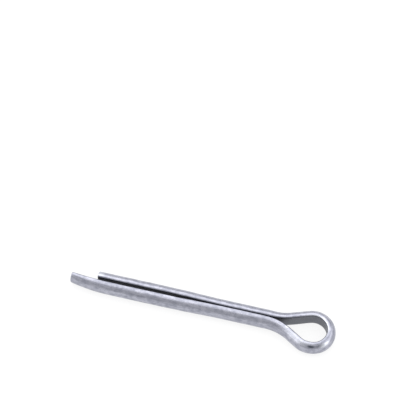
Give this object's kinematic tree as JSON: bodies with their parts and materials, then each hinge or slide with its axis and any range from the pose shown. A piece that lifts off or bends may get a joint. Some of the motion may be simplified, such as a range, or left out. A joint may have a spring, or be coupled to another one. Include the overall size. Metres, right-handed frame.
{
  "type": "brake pad retaining pin",
  "caption": "Split pin of half-round steel wire folded into a round eye and a two-leg shank with one leg longer, for keeping disc brake pads in a caliper.",
  "frame": {"origin": "on the shank's axis at the neck, where the eye ends and the closed shank begins", "axes": "+X along the shank towards the tips, +Y towards the long leg, +Z across the fold's plane, up as the pin lies flat"},
  "size_m": [0.0645, 0.0108, 0.0044],
  "materials": {
    "plated_steel": "bright zinc plated, satin, drawn wire"
  },
  "bodies": {
    "root": {"retaining_pin": "plated_steel"}
  },
  "joints": []
}
